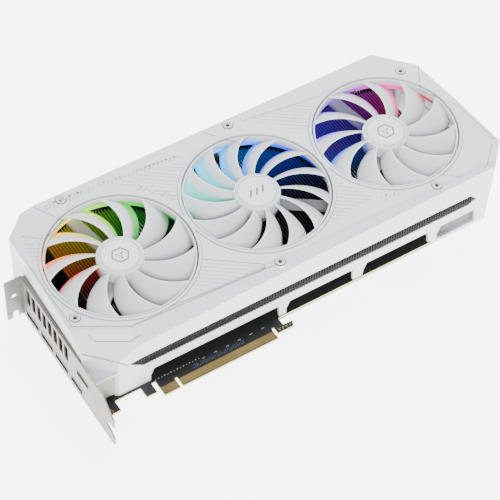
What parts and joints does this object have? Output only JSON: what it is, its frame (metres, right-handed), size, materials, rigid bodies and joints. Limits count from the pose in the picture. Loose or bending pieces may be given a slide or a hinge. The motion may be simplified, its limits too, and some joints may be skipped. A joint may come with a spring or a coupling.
{
  "type": "graphics card",
  "caption": "Graphics card with a white shroud, ring-tipped axial fans that spin, finned cooler, slotted bracket, keyed edge connector and a sliding BIOS switch.",
  "frame": {"origin": "middle of the backplate's outer face", "axes": "+X from the slot bracket to the far end, +Y away from the edge connector, +Z from the backplate to the fans"},
  "size_m": [0.3346, 0.154, 0.0578],
  "materials": {
    "shroud_plastic": "satin moulded ABS",
    "frame_metal": "white powder coat",
    "backplate_metal": "white powder coat on aluminium",
    "board": "black solder mask",
    "contact_gold": "gold flash",
    "bracket_steel": "nickel plated",
    "port_shell": "nickel plated",
    "fin_metal": "dark anodised",
    "pipe_metal": "nickel plated copper",
    "plate_metal": "nickel plated copper",
    "package_laminate": "laminate",
    "silicon": "polished",
    "chip_resin": "moulded resin",
    "pad_rubber": "soft silicone",
    "choke_ferrite": "pressed iron powder",
    "capacitor_can": "bare can",
    "socket_plastic": "black nylon",
    "header_plastic": "white nylon",
    "diffuser": "milky acrylic",
    "led_board": "white solder mask",
    "spring_steel": "zinc plated",
    "screw_steel": "nickel plated",
    "copper_wire": "enamelled copper",
    "fan_plastic": "white moulded PBT",
    "cap_plastic": "white with a metallic ring",
    "magnet": "bonded ferrite",
    "shaft_steel": "ground",
    "motor_plastic": "grey moulded",
    "bearing_bronze": "sintered bronze",
    "stator_steel": "laminated electrical steel"
  },
  "bodies": {
    "card": {"shroud": "shroud_plastic", "side_frame": "frame_metal", "backplate": "backplate_metal", "pcb": "board", "edge_contacts": "contact_gold", "io_bracket": "bracket_steel", "displayport_1": "port_shell", "displayport_2": "port_shell", "displayport_3": "port_shell", "hdmi_port_lower": "port_shell", "hdmi_port_upper": "port_shell", "fin_stack_front": "fin_metal", "fin_stack_rear": "fin_metal", "heat_pipes": "pipe_metal", "cold_plate": "plate_metal", "gpu_package": "package_laminate", "gpu_die": "silicon", "memory_chips": "chip_resin", "thermal_pads": "pad_rubber", "chokes": "choke_ferrite", "power_stages": "chip_resin", "capacitors": "capacitor_can", "power_connector_1": "socket_plastic", "power_connector_2": "socket_plastic", "power_connector_3": "socket_plastic", "power_pins": "contact_gold", "fan_headers": "header_plastic", "bios_switch_housing": "socket_plastic", "light_bar": "diffuser", "led_strip": "led_board", "retention_bracket": "spring_steel", "shroud_screws": "screw_steel", "retention_screws": "screw_steel", "backplate_screws": "screw_steel", "backplate_nuts": "screw_steel", "bracket_screw": "screw_steel", "fan_windings": "copper_wire", "motor_base_left": "motor_plastic", "bearing_left": "bearing_bronze", "stator_left": "stator_steel", "motor_base_middle": "motor_plastic", "bearing_middle": "bearing_bronze", "stator_middle": "stator_steel", "motor_base_right": "motor_plastic", "bearing_right": "bearing_bronze", "stator_right": "stator_steel"},
    "fan_left": {"rotor_left": "fan_plastic", "hub_cap_left": "cap_plastic", "magnet_ring_left": "magnet", "shaft_left": "shaft_steel"},
    "fan_middle": {"rotor_middle": "fan_plastic", "hub_cap_middle": "cap_plastic", "magnet_ring_middle": "magnet", "shaft_middle": "shaft_steel"},
    "fan_right": {"rotor_right": "fan_plastic", "hub_cap_right": "cap_plastic", "magnet_ring_right": "magnet", "shaft_right": "shaft_steel"},
    "bios_slider": {"bios_switch_slider": "header_plastic"}
  },
  "joints": [
    {"name": "fan_left_spin", "type": "hinge", "parent": "card", "child": "fan_left", "pos_m": [-0.1053, -0.0014, 0.05], "axis": [0, 0, 1], "continuous": true},
    {"name": "fan_middle_spin", "type": "hinge", "parent": "card", "child": "fan_middle", "pos_m": [-0.00294, -0.0014, 0.05], "axis": [0, 0, 1], "continuous": true},
    {"name": "fan_right_spin", "type": "hinge", "parent": "card", "child": "fan_right", "pos_m": [0.09942, -0.0014, 0.05], "axis": [0, 0, 1], "continuous": true},
    {"name": "bios_switch_slide", "type": "slide", "parent": "card", "child": "bios_slider", "axis": [1, 0, 0], "range_m": [0, 0.002]}
  ]
}
